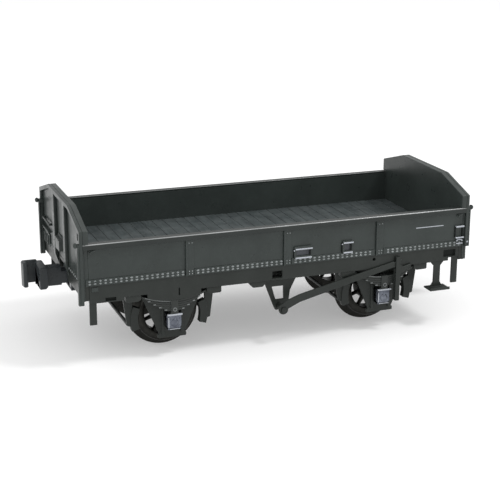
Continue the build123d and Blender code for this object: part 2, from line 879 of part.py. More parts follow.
def make_end_fittings():
    """Lamp bracket between the end's ribs, a grab iron, ledge and panel beside them."""
    face = -end_face_x
    lamp_z = rail_z + 8.75
    lamp_y = 0.35
    grab_z = rail_z + 9.45
    ledge_z = rail_z + 8.45
    with BuildPart() as left:
        block(face, face - 0.1, lamp_y - 0.95, lamp_y + 0.95, lamp_z - 0.75, lamp_z + 0.75)
        block(face - 0.1, face - 0.4, lamp_y - 0.8, lamp_y + 0.8, lamp_z - 0.6, lamp_z + 0.45)
        block(face - 0.1, face - 0.48, lamp_y - 0.85, lamp_y + 0.85, lamp_z + 0.45, lamp_z + 0.58)
        for y in (4.4, 7.3):
            rod((face, y, grab_z), (face - 0.3, y, grab_z), 0.12)
        rod((face - 0.25, 4.3, grab_z), (face - 0.25, 7.4, grab_z), 0.09)
        block(face, face - 0.3, 5.0, 7.9, ledge_z, ledge_z + 0.14)
        block(face, face - 0.12, 5.3, 7.6, rail_z + 7.0, ledge_z - 0.25)
        for y in (5.6, 6.4, 7.2):
            block(face - 0.12, face - 0.24, y, y + 0.16, rail_z + 7.1, ledge_z - 0.4)
        block(face, face - 0.3, -7.85, -7.65, rail_z + 11.25, rail_z + 11.9)
    with BuildPart() as both:
        add(left.part)
        add(half_turn * left.part)
    save(both.part, "end_fittings")


# ---- couplers ---------------------------------------------------------------


def make_coupler_pockets():
    wall = 0.3
    mouth_half = 0.85
    back_y = pocket_half_width
    with BuildPart() as pocket:
        block(-pocket_front_x, -pocket_back_x, -back_y, back_y, pocket_floor_z, chassis_z)
        block(
            0.25 - pocket_front_x,
            -pocket_back_x - wall,
            wall - back_y,
            back_y - wall,
            pocket_floor_z,
            pocket_roof_z,
            Mode.SUBTRACT,
        )
        block(-pocket_front_x, -17, -mouth_half, mouth_half, pocket_floor_z, pocket_roof_z, Mode.SUBTRACT)
        with Locations((-13.7, 0, (chassis_z + pocket_floor_z) / 2)):
            Cylinder(0.75, chassis_z - pocket_floor_z)
            Cylinder(0.35, chassis_z - pocket_floor_z, mode=Mode.SUBTRACT)
    with BuildPart() as both:
        add(pocket.part)
        add(half_turn * pocket.part)
    save(both.part, "coupler_pockets")


def make_pocket_covers():
    thickness = 0.2
    with BuildPart() as cover:
        block(
            -pocket_front_x,
            -pocket_back_x,
            -pocket_half_width,
            pocket_half_width,
            pocket_floor_z - thickness,
            pocket_floor_z,
        )
        with Locations((-13.7, 0, pocket_floor_z - thickness / 2)):
            Cylinder(0.75, thickness)
            Cylinder(0.35, thickness, mode=Mode.SUBTRACT)
    with BuildPart() as both:
        add(cover.part)
        add(half_turn * cover.part)
    save(both.part, "pocket_covers")


def make_screws():
    """Two screws hold the pocket covers and two hold the chassis to the floor."""
    head_height = 0.4
    slot = 0.18
    with BuildPart() as screws:
        spots = (
            (13.7, pocket_floor_z - 0.2, chassis_z, 0.35, 0.65),
            (4.0, chassis_z, floor_bottom_z, 0.45, 0.8),
        )
        for x, head_top, tip, radius, head_radius in spots:
            for side in (-1, 1):
                rod((side * x, 0, head_top), (side * x, 0, tip), radius)
                rod((side * x, 0, head_top - head_height), (side * x, 0, head_top), head_radius)
                block(
                    side * x - head_radius,
                    side * x + head_radius,
                    -slot / 2,
                    slot / 2,
                    head_top - head_height,
                    head_top - head_height + slot,
                    Mode.SUBTRACT,
                )
    save(screws.part, "screws")


def make_coupler():
    """Hook coupler: tee tail, shank, rear head, an arm on the far side and the front hook."""
    head_half = 1.3
    head_back_x = 20.35
    head_front_x = 21.1
    hook_x0 = 21.9
    hook_x1 = 22.4
    arm = 0.4
    shank_back_x = 18.95
    head_low = rail_z + 4.95
    head_high = rail_z + 7.05
    hook_low = rail_z + 4.8
    hook_high = rail_z + 7.2
    shank_low = rail_z + 5.0
    shank_high = rail_z + 6.75
    low = drawbar_z - tail_height / 2
    high = drawbar_z + tail_height / 2
    with BuildPart() as hook:
        with BuildSketch(Plane.XY.offset(hook_low)):
            with BuildLine():
                Polyline(
                    (0.2 - head_front_x, head_half - 0.05),
                    (0.12 - hook_x1, head_half - 0.05),
                    (-hook_x1, 0.9),
                    (0.1 - hook_x1, 0.2),
                    (-hook_x0, 0.2),
                    (-hook_x0, head_half - arm),
                    (0.2 - head_front_x, head_half - arm),
                    close=True,
                )
            make_face()
        extrude(amount=hook_high - hook_low)
        chamfer(hook.edges().group_by(Axis.Z)[-1], 0.08)
        chamfer(hook.edges().group_by(Axis.Z)[0], 0.08)
        block(-hook_x0, -head_front_x, -head_half, head_half, hook_low, hook_low + 0.25, Mode.SUBTRACT)
    with BuildPart() as coupler:
        block(-head_front_x, -head_back_x, -head_half, head_half, head_low, head_high)
        chamfer(coupler.edges().group_by(Axis.Z)[-1], 0.12)
        chamfer(coupler.edges().group_by(Axis.Z)[0].sort_by(Axis.X)[-1], 0.2)
        block(-pivot_x, 0.4 - pivot_x, -1.15, 1.15, low, high)
        block(-head_back_x - 0.1, -pivot_x, -shank_width / 2, shank_width / 2, low, high)
        block(-head_back_x - 0.1, -shank_back_x, -shank_width / 2, shank_width / 2, shank_low, shank_high)
        add(hook.part)
    save_both_ends(coupler.part, "coupler")


def make_coupler_spring():
    """Coil spring behind the coupler's tail, ground flat at neither end."""
    coil_radius = 0.42
    wire = 0.075
    start_x = 0.4 - pivot_x + 0.2
    length = 2.5
    pitch = 0.36
    with BuildPart() as spring:
        with BuildLine() as line:
            Helix(pitch, length, coil_radius)
        with BuildSketch(Plane(origin=line.line @ 0, z_dir=line.line % 0)):
            Circle(wire)
        sweep(is_frenet=True)
    save_both_ends(Pos(start_x, 0, drawbar_z) * Rot(0, 90, 0) * spring.part, "coupler_spring")


make_load_floor()
make_side_sheet()
make_top_rail()
make_stanchions()
make_curb_angles()
make_corner_posts()
make_end_plate()
make_end_stiffeners()
make_solebar()
make_headstock()
make_chassis_plate()
make_ballast_weight()
make_axle_guard()
make_bearings()
make_axlebox()
make_leaf_spring()
make_spring_shoes()
make_door_stops()
make_wheelsets()
make_brake_blocks()
make_brake_rigging()
make_brake_shaft()
make_vee_hangers()
make_brake_lever()
make_lever_guides()
make_side_steps()
make_corner_irons()
make_label_holders()
make_corner_fittings()
make_end_fittings()
make_coupler_pockets()
make_pocket_covers()
make_screws()
make_coupler()
make_coupler_spring()
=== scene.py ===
import json
import random
from math import cos, exp, pi, radians, sin

import bmesh
import bpy
from mathutils import Matrix, Vector

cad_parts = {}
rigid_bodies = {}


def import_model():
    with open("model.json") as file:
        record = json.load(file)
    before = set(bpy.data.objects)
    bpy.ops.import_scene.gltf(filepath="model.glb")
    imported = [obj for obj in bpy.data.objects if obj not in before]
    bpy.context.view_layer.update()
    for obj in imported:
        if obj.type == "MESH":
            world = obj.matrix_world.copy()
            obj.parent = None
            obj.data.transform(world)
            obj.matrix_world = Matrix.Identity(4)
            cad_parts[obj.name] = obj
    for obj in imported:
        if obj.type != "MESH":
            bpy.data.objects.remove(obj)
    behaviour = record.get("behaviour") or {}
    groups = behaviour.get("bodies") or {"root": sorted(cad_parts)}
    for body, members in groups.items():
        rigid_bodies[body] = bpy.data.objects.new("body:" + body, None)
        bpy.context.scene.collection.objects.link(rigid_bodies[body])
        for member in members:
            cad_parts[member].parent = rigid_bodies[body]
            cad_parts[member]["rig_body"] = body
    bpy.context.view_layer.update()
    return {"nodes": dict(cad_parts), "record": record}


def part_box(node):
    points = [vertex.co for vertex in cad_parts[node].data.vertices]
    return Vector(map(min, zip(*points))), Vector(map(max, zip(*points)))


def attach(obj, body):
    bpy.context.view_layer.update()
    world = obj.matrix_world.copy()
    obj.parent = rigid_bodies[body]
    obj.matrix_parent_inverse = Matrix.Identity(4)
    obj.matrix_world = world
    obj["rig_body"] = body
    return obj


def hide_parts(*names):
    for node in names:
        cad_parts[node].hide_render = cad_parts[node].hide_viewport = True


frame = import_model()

# Low-sided two-axle wagon model. The near side faces -Y, the left end -X, and z = 0 touches
# the wheel flanges. Lengths in this script are in millimetres, and MM turns them into metres.

MM = 0.001
dice = random.Random(7)

# ---- places read from the CAD frame -------------------------------------------


def node_box(node):
    """Lowest and highest corner of a CAD node, in millimetres."""
    low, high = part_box(node)
    return low / MM, high / MM


curb_low, curb_high = node_box("curb_angles")
sheet_low, _ = node_box("side_sheet_near")
_, stanchion_high = node_box("side_stanchions")
stiffener_low, _ = node_box("end_stiffeners_left")
headstock_low, _ = node_box("headstock_left")
axle_low, axle_high = node_box("axle_left")

sheet_y = -sheet_low.y
curb_y = -curb_low.y
axle_x = -(axle_low.x + axle_high.x) / 2
axle_z = (axle_low.z + axle_high.z) / 2
end_face_x = -headstock_low.x
rail_z = 0.6
stanchion_places = (-9.0, 0.35, 9.65)

# ---- material building blocks -------------------------------------------------


class Shading:
    """A material's node tree, with short calls for the nodes used here."""

    def __init__(self, name):
        self.material = bpy.data.materials.new(name)
        self.material.use_nodes = True
        self.tree = self.material.node_tree
        self.shader = self.tree.nodes["Principled BSDF"]
        self.object_coords = self.add("ShaderNodeTexCoord").outputs["Object"]

    def add(self, kind, **settings):
        node = self.tree.nodes.new(kind)
        for key, value in settings.items():
            setattr(node, key, value)
        return node

    def set(self, node, socket, value):
        """Give a socket a constant, or link another node's output to it."""
        target = node.inputs[socket]
        if isinstance(value, bpy.types.NodeSocket):
            self.tree.links.new(value, target)
        else:
            target.default_value = value

    def stretched(self, x=1.0, y=1.0, z=1.0):
        """Object coordinates, pulled out along the axes that have a small factor."""
        mapping = self.add("ShaderNodeMapping")
        self.set(mapping, "Vector", self.object_coords)
        self.set(mapping, "Scale", (x, y, z))
        return mapping.outputs["Vector"]

    def noise(self, size, detail=3.0, roughness=0.55, vector=None):
        """Noise from 0 to 1 whose blobs are about size millimetres across."""
        node = self.add("ShaderNodeTexNoise")
        self.set(node, "Vector", vector or self.object_coords)
        self.set(node, "Scale", 1 / (size * MM))
        self.set(node, "Detail", detail)
        self.set(node, "Roughness", roughness)
        return node.outputs["Fac"]

    def between(self, value, low, high, to_low=0.0, to_high=1.0):
        """Map value from low..high to to_low..to_high, clamped."""
        node = self.add("ShaderNodeMapRange")
        for socket, number in enumerate((value, low, high, to_low, to_high)):
            self.set(node, socket, number)
        return node.outputs["Result"]

    def times(self, a, b):
        node = self.add("ShaderNodeMath", operation="MULTIPLY")
        self.set(node, 0, a)
        self.set(node, 1, b)
        return node.outputs["Value"]

    def mix(self, factor, a, b):
        """Blend two colours, each a triple or a node's output."""
        node = self.add("ShaderNodeMix", data_type="RGBA")
        self.set(node, "Factor", factor)
        for socket, colour in ((6, a), (7, b)):
            self.set(node, socket, (*colour, 1.0) if isinstance(colour, tuple) else colour)
        return node.outputs[2]

    def normal_part(self, axis):
        """One component of the surface normal."""
        split = self.add("ShaderNodeSeparateXYZ")
        self.set(split, 0, self.add("ShaderNodeNewGeometry").outputs["Normal"])
        return split.outputs[axis]

    def edges(self, radius, gain=6.0):
        """About 1 along outer edges and corners, 0 on flat faces."""
        bevel = self.add("ShaderNodeBevel", samples=6)
        self.set(bevel, "Radius", radius * MM)
        product = self.add("ShaderNodeVectorMath", operation="DOT_PRODUCT")
        self.set(product, 0, bevel.outputs["Normal"])
        self.set(product, 1, self.add("ShaderNodeNewGeometry").outputs["Normal"])
        return self.between(product.outputs["Value"], 1.0, 1.0 - 1.0 / gain)

    def bump(self, *layers):
        """Layers of (height, depth in millimetres), one on another."""
        normal = None
        for height, depth in layers:
            node = self.add("ShaderNodeBump")
            self.set(node, "Distance", depth * MM)
            self.set(node, "Height", height)
            if normal:
                self.set(node, "Normal", normal)
            normal = node.outputs["Normal"]
        self.set(self.shader, "Normal", normal)

    def finish(self, colour, roughness, metallic=0.0):
        self.set(self.shader, "Base Color", colour)
        self.set(self.shader, "Roughness", roughness)
        self.set(self.shader, "Metallic", metallic)
        return self.material


# ---- materials ----------------------------------------------------------------


def moulded(
    name, base, dust_and_highlight_colour, roughness, gloss=0.28, grain=0.12, depth=0.004, edge_highlight=0.35, dust=0.1, streak=None
):
    """Moulded plastic or thin paint: mottled colour, fine grain, painted highlights along edges, faint
    dust on upward faces.
    """
    s = Shading(name)
    mottle = s.between(s.noise(3.2, 4, 0.6), 0.35, 0.7)
    colour = s.mix(mottle, base, tuple(c * 1.3 for c in base))
    speck = s.between(s.noise(0.35, 3, 0.7), 0.55, 0.8, 0, 0.4)
    colour = s.mix(speck, colour, tuple(c * 1.8 for c in base))
    if streak:
        lines = s.between(s.noise(0.5, 5, 0.7, s.stretched(*streak)), 0.45, 0.75, 0, 0.6)
        colour = s.mix(lines, colour, tuple(c * 2.2 for c in base))
    upward = s.between(s.normal_part("Z"), 0.3, 0.95)
    settled = s.times(upward, s.between(s.noise(1.6, 5, 0.65), 0.4, 0.75, 0, dust))
    colour = s.mix(settled, colour, dust_and_highlight_colour)
    # Painted highlight: the colour is lightened towards the pale colour along edges and corners.
    painted_highlight = s.times(s.edges(0.06), s.between(s.noise(0.8, 4), 0.3, 0.7, edge_highlight * 0.4, edge_highlight))
    colour = s.mix(painted_highlight, colour, dust_and_highlight_colour)
    sheen = s.between(s.noise(1.1, 5, 0.6), 0.3, 0.75, roughness - 0.06, roughness + 0.1)
    s.bump((s.noise(grain, 4, 0.7), depth), (s.noise(2.5, 2), depth * 4))
    s.set(s.shader, "Specular IOR Level", gloss)
    return s.finish(colour, sheen)


def metal(name, base, dark, roughness, tarnish=0.5, grain=0.08):
    """Turned or blackened metal with tarnish in soft patches."""
    s = Shading(name)
    patches = s.between(s.noise(0.9, 5, 0.65), 0.35, 0.7, 0, tarnish)
    colour = s.mix(patches, base, dark)
    bright = s.times(s.edges(0.06), s.between(s.noise(0.5, 3), 0.3, 0.6, 0.2, 0.6))
    colour = s.mix(bright, colour, tuple(min(1.0, c * 1.6) for c in base))
    sheen = s.between(s.noise(0.4, 4, 0.7), 0.3, 0.7, roughness - 0.08, roughness + 0.12)
    s.bump((s.noise(grain, 3, 0.7), 0.003))
    return s.finish(colour, sheen, 1.0)


def rail_finish(name, base, painted_highlight, roughness):
    """Body paint in a darker copy as painted shade, with a painted highlight along the rounded outer
    corner.
    """
    s = Shading(name)
    # Painted shade: the rail is a darker copy of the body paint (0.6 to 0.85 of it), mottled at random.
    mottle = s.between(s.noise(3.2, 4, 0.6), 0.35, 0.7)
    colour = s.mix(mottle, tuple(c * 0.6 for c in base), tuple(c * 0.85 for c in base))
    # Painted highlight on the faces turned half up and half out, the rounded outer corner.
    outward = s.add("ShaderNodeMath", operation="ABSOLUTE")
    s.set(outward, 0, s.normal_part("Y"))
    nose = s.between(s.times(outward.outputs["Value"], s.normal_part("Z")), 0.25, 0.48)
    wear_and_highlight = s.times(nose, s.between(s.noise(4.0, 5, 0.6), 0.3, 0.6, 0.5, 1.0))
    colour = s.mix(wear_and_highlight, colour, painted_highlight)
    sheen = s.between(wear_and_highlight, 0, 1, roughness, roughness * 0.6)
    s.bump((s.noise(0.12, 4, 0.7), 0.003))
    s.set(s.shader, "Specular IOR Level", 0.28)
    return s.finish(colour, sheen)


def painted_mark(name, colour):
    """Printed paint, a little thin and broken where it lies on the grain."""
    s = Shading(name)
    thin = s.between(s.noise(0.25, 4, 0.7), 0.35, 0.65, 0, 0.45)
    wear_and_highlight = s.mix(thin, colour, tuple(c * 0.45 for c in colour))
    s.bump((s.noise(0.12, 3, 0.6), 0.003))
    return s.finish(wear_and_highlight, s.between(s.noise(0.3), 0.3, 0.7, 0.4, 0.55))


BODY = (0.026, 0.032, 0.030)
# The underframe colour is the body paint made darker: painted shade on the underframe and springs below
# the body.
SHADED_FRAME = (0.019, 0.022, 0.020)
MATERIALS = {
    "body_paint": moulded("body_paint", BODY, (0.16, 0.175, 0.17), 0.32),
    "floor_paint": moulded(
        "floor_paint", (0.037, 0.045, 0.046), (0.12, 0.13, 0.13), 0.42, dust=0.4, streak=(1, 0.08, 1)
    ),
    "underframe_paint": moulded("underframe_paint", SHADED_FRAME, (0.08, 0.09, 0.085), 0.36, 0.22),
    "axlebox_gloss": moulded("axlebox_gloss", (0.014, 0.016, 0.019), (0.3, 0.33, 0.38), 0.2, 0.6),
    "wheel_metal": metal("wheel_metal", (0.035, 0.035, 0.032), (0.012, 0.012, 0.011), 0.42),
    "axle_steel": metal("axle_steel", (0.3, 0.3, 0.29), (0.08, 0.075, 0.07), 0.35),
    "bearing_brass": metal("bearing_brass", (0.62, 0.43, 0.17), (0.25, 0.15, 0.06), 0.3),
    "bush_plastic": moulded("bush_plastic", (0.02, 0.02, 0.022), (0.1, 0.1, 0.1), 0.5),
    "weight_steel": metal("weight_steel", (0.34, 0.33, 0.31), (0.12, 0.1, 0.08), 0.45),
    "screw_steel": metal("screw_steel", (0.45, 0.45, 0.44), (0.16, 0.15, 0.14), 0.28),
    "spring_steel": metal("spring_steel", (0.42, 0.42, 0.41), (0.14, 0.13, 0.12), 0.3),
    "coupler_plastic": moulded("coupler_plastic", (0.022, 0.026, 0.028), (0.14, 0.15, 0.17), 0.3),
}
rail_paint = rail_finish("rail_paint", BODY, (0.36, 0.37, 0.37), 0.3)
# Rivet paint: a pale copy of the body paint, as painted highlight on the rivet heads.
rivet_highlight_paint = moulded("rivet_highlight_paint", (0.16, 0.175, 0.175), (0.5, 0.52, 0.52), 0.26, 0.5, edge_highlight=0.8)
# A pale paint used as painted highlight on grab irons, label holder bars and axlebox edges.
highlight_paint = moulded("highlight_paint", (0.30, 0.32, 0.35), (0.7, 0.72, 0.75), 0.22, 0.6, edge_highlight=0.8)
shadow_paint = moulded("shadow_paint", (0.010, 0.012, 0.011), (0.03, 0.033, 0.032), 0.5, 0.1)
box_gloss = metal("box_gloss", (0.17, 0.185, 0.215), (0.05, 0.055, 0.075), 0.22, 0.8, 0.2)
mark_paint = painted_mark("mark_paint", (0.42, 0.44, 0.48))
card_paint = moulded("card_paint", (0.034, 0.037, 0.042), (0.12, 0.12, 0.13), 0.36, streak=(1, 1, 0.08))
# A pale paint used as painted highlight on the springs' top edges, leaf tips and buckle ring.
spring_highlight_paint = moulded("spring_highlight_paint", (0.12, 0.13, 0.13), (0.45, 0.46, 0.46), 0.26, 0.5, edge_highlight=0.6)
spring_paint = moulded("spring_paint", SHADED_FRAME, (0.12, 0.13, 0.13), 0.34, 0.3, edge_highlight=0.5)

# ---- mesh building blocks -----------------------------------------------------

half_turn = Matrix.Rotation(pi, 4, "Z")


class Solid:
    """A mesh in the making, in millimetres. Each call adds one closed shell."""

    def __init__(self):
        self.bm = bmesh.new()

    def loft(self, rings):
        """Skin a list of rings with the same number of points, and close both ends."""
        made = [[self.bm.verts.new(point) for point in ring] for ring in rings]
        for a, b in zip(made, made[1:]):
            for i in range(len(a)):
                j = (i + 1) % len(a)
                self.bm.faces.new((a[i], a[j], b[j], b[i]))
        self.bm.faces.new(made[0][::-1])
        self.bm.faces.new(made[-1])

    def prism(self, outline, near_y, far_y):
        """Outline of (x, z) points, from near_y to far_y."""
        self.loft([[(x, y, z) for x, z in outline] for y in (near_y, far_y)])

    def box(self, x0, x1, y0, y1, z0, z1):
        self.prism([(x0, z0), (x1, z0), (x1, z1), (x0, z1)], y0, y1)

    def lathe(self, profile, x, z, steps=96):
        """Closed profile of (radius, y) points, turned about the Y axis through (x, z)."""
        rings = []
        for step in range(steps):
            a = 2 * pi * step / steps
            rings.append([self.bm.verts.new((x + r * cos(a), y, z + r * sin(a))) for r, y in profile])
        for a, b in zip(rings, rings[1:] + rings[:1]):
            for i in range(len(a)):
                j = (i + 1) % len(a)
                self.bm.faces.new((a[i], a[j], b[j], b[i]))

    def dome(self, centre, direction, radius, height, sides=10, bands=3, stretch=1.0):
        """Rivet or bolt head on a face: its foot is sunk a little into the face."""
        out = Vector(direction).normalized()
        across = out.orthogonal().normalized()
        along = out.cross(across)
        rings = []
        for band in range(bands + 1):
            rise = -0.02 if band == 0 else height * sin(pi / 2 * (band - 1) / bands)
            reach = radius if band == 0 else radius * cos(pi / 2 * (band - 1) / bands)
            ring = []
            for side in range(sides):
                a = 2 * pi * side / sides
                point = out * rise + (across * cos(a) + along * sin(a)) * reach
                point.x *= stretch
                ring.append(Vector(centre) + point)
            rings.append(ring)
        self.loft(rings)

    def tube(self, points, radius, sides=12):
        """Round bar through the points, each bend mitred."""
        path = [Vector(p) for p in points]
        steps = [(b - a).normalized() for a, b in zip(path, path[1:])]
        tangents = [steps[0]] + [(a + b).normalized() for a, b in zip(steps, steps[1:])] + [steps[-1]]
        across = tangents[0].orthogonal().normalized()
        rings = []
        for point, tangent in zip(path, tangents):
            across = (across - tangent * across.dot(tangent)).normalized()
            up = tangent.cross(across)
            ring = []
            for side in range(sides):
                a = 2 * pi * side / sides
                ring.append(point + (across * cos(a) + up * sin(a)) * radius)
            rings.append(ring)
        self.loft(rings)

    def ring(self, centre, axis, radius, wire, sides=24):
        """Closed round ring of wire."""
        spin = Vector(axis).normalized()
        across = spin.orthogonal().normalized()
        along = spin.cross(across)
        loops = []
        for side in range(sides):
            a = 2 * pi * side / sides
            out = across * cos(a) + along * sin(a)
            loop = []
            for corner in range(8):
                b = 2 * pi * corner / 8
                point = Vector(centre) + out * (radius + wire * cos(b)) + spin * wire * sin(b)
                loop.append(self.bm.verts.new(point))
            loops.append(loop)
        for a, b in zip(loops, loops[1:] + loops[:1]):
            for i in range(8):
                j = (i + 1) % 8
                self.bm.faces.new((a[i], a[j], b[j], b[i]))

    def copies(self, *transforms):
        """Add a transformed copy of all that is there so far for each transform."""
        source = bpy.data.meshes.new("copy")
        self.bm.to_mesh(source)
        for transform in transforms:
            earlier = set(self.bm.verts)
            self.bm.from_mesh(source)
            added = [vert for vert in self.bm.verts if vert not in earlier]
            bmesh.ops.transform(self.bm, matrix=transform, verts=added)
        bpy.data.meshes.remove(source)

    def round_edges(self, width, sharp=35, segments=2):
        """Round each edge that turns by more than sharp degrees."""
        bmesh.ops.recalc_face_normals(self.bm, faces=self.bm.faces)
        edges = []
        for edge in self.bm.edges:
            if len(edge.link_faces) == 2 and edge.calc_face_angle() > radians(sharp):
                edges.append(edge)
        bmesh.ops.bevel(
            self.bm,
            geom=edges,
            offset=width,
            segments=segments,
            profile=0.5,
            affect="EDGES",
            clamp_overlap=False,
            loop_slide=False,
        )

    def place(self, name, body, slot, material=None, replaces=()):
        """Turn the mesh into a piece of the model that rides on body."""
        bmesh.ops.recalc_face_normals(self.bm, faces=self.bm.faces)
        bmesh.ops.scale(self.bm, vec=(MM, MM, MM), verts=self.bm.verts)
        mesh = bpy.data.meshes.new(name)
        self.bm.to_mesh(mesh)
        self.bm.free()
        mesh.polygons.foreach_set("use_smooth", [True] * len(mesh.polygons))
        mesh.set_sharp_from_angle(angle=radians(38))
        mesh.materials.append(material or MATERIALS[slot])
        obj = bpy.data.objects.new(name, mesh)
        bpy.context.scene.collection.objects.link(obj)
        weighted = obj.modifiers.new("flat_faces_stay_flat", "WEIGHTED_NORMAL")
        weighted.keep_sharp = True
        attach(obj, body)
        if replaces:
            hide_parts(*replaces)
        return obj


def arc(x, z, radius, start, end, steps=5):
    """Points along a round corner's arc, angles in degrees."""
    turns = [radians(start + (end - start) * step / steps) for step in range(steps + 1)]
    return [(x + radius * cos(a), z + radius * sin(a)) for a in turns]


def rounded_outline(x0, x1, z0, z1, low_radius, high_radius, steps=5):
    """Rectangle with round corners, as (x, z) points, one radius below and one above."""
    corners = (
        (x1 - low_radius, z0 + low_radius, low_radius, -90),
        (x1 - high_radius, z1 - high_radius, high_radius, 0),
        (x0 + high_radius, z1 - high_radius, high_radius, 90),
        (x0 + low_radius, z0 + low_radius, low_radius, 180),
    )
    outline = []
    for x, z, radius, start in corners:
        outline += arc(x, z, radius, start, start + 90, steps)
    return outline


# ---- CAD nodes: finishes and rounded edges ------------------------------------

slot_of = {row["node"]: row["material_slot"] for row in frame["record"]["subparts"]}
ROUNDED = {
    "side_stanchions": 0.03,
    "curb_angles": 0.03,
    "corner_posts": 0.05,
    "end_plate": 0.06,
    "end_stiffeners": 0.05,
    "headstock": 0.05,
    "solebar": 0.05,
    "spring_shoes": 0.04,
    "door_stops": 0.04,
    "brake_lever": 0.05,
    "vee_hangers": 0.04,
    "lever_guides": 0.04,
    "side_steps": 0.04,
    "corner_irons": 0.04,
    "axle_guard": 0.04,
    "brake_blocks": 0.04,
    "end_fittings": 0.03,
    "coupler_left": 0.04,
    "coupler_right": 0.04,
    "coupler_pockets": 0.05,
    "pocket_covers": 0.05,
}


def finish_cad_nodes():
    """Give each CAD node its finish, and each node in ROUNDED a copy with rounded edges."""
    for node, obj in frame["nodes"].items():
        obj.data.materials.clear()
        obj.data.materials.append(MATERIALS[slot_of[node]])
        width = next((w for start, w in ROUNDED.items() if node.startswith(start)), None)
        if width is None:
            continue
        solid = Solid()
        solid.bm.from_mesh(obj.data)
        bmesh.ops.scale(solid.bm, vec=(1 / MM, 1 / MM, 1 / MM), verts=solid.bm.verts)
        bmesh.ops.remove_doubles(solid.bm, verts=solid.bm.verts, dist=0.002)
        bmesh.ops.dissolve_limit(
            solid.bm, angle_limit=radians(0.5), verts=solid.bm.verts, edges=solid.bm.edges
        )
        solid.round_edges(width, sharp=50)
        solid.place(f"{node}_rounded", obj["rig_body"], slot_of[node], replaces=[node])


def make_top_rails():
    """Angle-section rail along the top of each side, with a rounded outer corner."""
    low, high = node_box("top_rail_near")
    nose = 0.13
    soft = 0.04
    leaf = 0.2
    leg_back = -sheet_y
    section = (
        arc(low.y + nose, high.z - nose, nose, 180, 90, 8)
        + arc(high.y - soft, high.z - soft, soft, 90, 0)
        + arc(high.y - soft, high.z - leaf + soft, soft, 0, -90)
        + [(leg_back, high.z - leaf), (leg_back, low.z)]
        + arc(low.y + soft, low.z + soft, soft, -90, -180)
    )
    solid = Solid()
    ends = [low.x, low.x + 0.03, high.x - 0.03, high.x]
    solid.loft([[(x, y, z) for y, z in section] for x in ends])
    solid.copies(half_turn)
    solid.place(
        "top_rails", "wagon", "body_paint", rail_paint, replaces=["top_rail_near", "top_rail_far"]
    )


# ---- wheels, axleboxes and springs --------------------------------------------


def wheel_shape(solid, x, out):
    """Spoked wheel at x, its outer face towards out (-1 for the near side)."""
    back = 3.75
    tread = 2.8
    hub = 1.25
    tyre = [
        (2.00, 0.05), (2.05, 0.0), (2.95, 0.0), (3.22, 0.06), (3.36, 0.14), (3.40, 0.22),
        (3.37, 0.31), (3.20, 0.38), (3.00, 0.45), (2.88, 0.55), (tread, 0.68), (2.74, 1.32),
        (2.68, 1.42), (2.56, 1.48), (2.46, 1.5), (2.14, 1.5), (2.06, 1.47), (2.01, 1.40),
    ]
    boss = [
        (0.85, 0.0), (1.18, 0.0), (hub, 0.07), (1.22, 1.30), (1.16, 1.48), (1.08, 1.58),
        (0.98, 1.63), (0.85, 1.65),
    ]
    for profile in (tyre, boss):
        solid.lathe([(r, out * (back + y)) for r, y in profile], x, axle_z)
    spokes = 9
    stations = 9
    sides = 14
    root = 1.08
    tip = 2.13
    web = 0.78
    for spoke in range(spokes):
        turn = 2 * pi * spoke / spokes
        rings = []
        for station in range(stations):
            t = station / (stations - 1)
            r = root + t * (tip - root)
            flare = exp(-t / 0.13) + 0.8 * exp(-(1 - t) / 0.12)
            half_width = 0.19 - 0.06 * t + 0.11 * flare
            half_depth = 0.27 + 0.08 * flare
            ring = []
            for side in range(sides):
                a = 2 * pi * side / sides
                across = half_width * cos(a)
                y = out * (back + web + half_depth * sin(a))
                ring.append(
                    (
                        x + r * cos(turn) - across * sin(turn),
                        y,
                        axle_z + r * sin(turn) + across * cos(turn),
                    )
                )
            rings.append(ring)
        solid.loft(rings)


def make_wheels():
    for end, x in (("left", -axle_x), ("right", axle_x)):
        for side, out in (("near", -1), ("far", 1)):
            solid = Solid()
            wheel_shape(solid, x, out)
            name = f"wheel_{end}_{side}"
            solid.place(f"{name}_spoked", f"wheelset_{end}", "wheel_metal", replaces=[name])


def axlebox_shape(solid):
    """Left near axlebox: casting, lid flange, front cover, domed cap, bolts and sump."""
    low, high = node_box("axlebox_left_near")
    x = -axle_x
    back = high.y
    front = low.y
    shell = front + 0.3
    casing = rounded_outline(x - 0.68, x + 0.68, low.z + 0.04, high.z - 0.06, 0.34, 0.1)
    cover = rounded_outline(x - 0.60, x + 0.60, low.z + 0.14, high.z - 0.2, 0.28, 0.1)
    solid.prism(casing, back, shell)
    solid.prism(cover, shell, shell - 0.13)
    solid.box(x - 0.72, x + 0.72, back, front + 0.04, high.z - 0.13, high.z)
    solid.box(x - 0.56, x + 0.56, shell - 0.1, front + 0.05, high.z - 0.34, high.z - 0.12)
    solid.box(x - 0.62, x + 0.62, back, shell - 0.08, low.z, low.z + 0.1)
    solid.round_edges(0.035)
    solid.dome((x, shell - 0.12, axle_z - 0.02), (0, -1, 0), 0.38, 0.14, 28, 6)
    for dx in (-0.44, 0.44):
        solid.dome((x + dx, shell - 0.12, low.z + 0.36), (0, -1, 0), 0.075, 0.06)
        solid.dome((x + dx, shell - 0.12, high.z - 0.46), (0, -1, 0), 0.07, 0.05)


# The leaf springs, from their eyes down. Each leaf is shorter than the one above it.
LEAVES = 5
LEAF_SPACING = 0.2
LEAF_THICKNESS = 0.175
LEAF_SHORTENING = 0.17
LEAF_SETBACK = 0.12
SPRING_SAG = 0.66


def spring_drop(run, half):
    """How far a leaf lies below its ends' height, run away from its middle."""
    return SPRING_SAG * (1 - (run / half) ** 2)


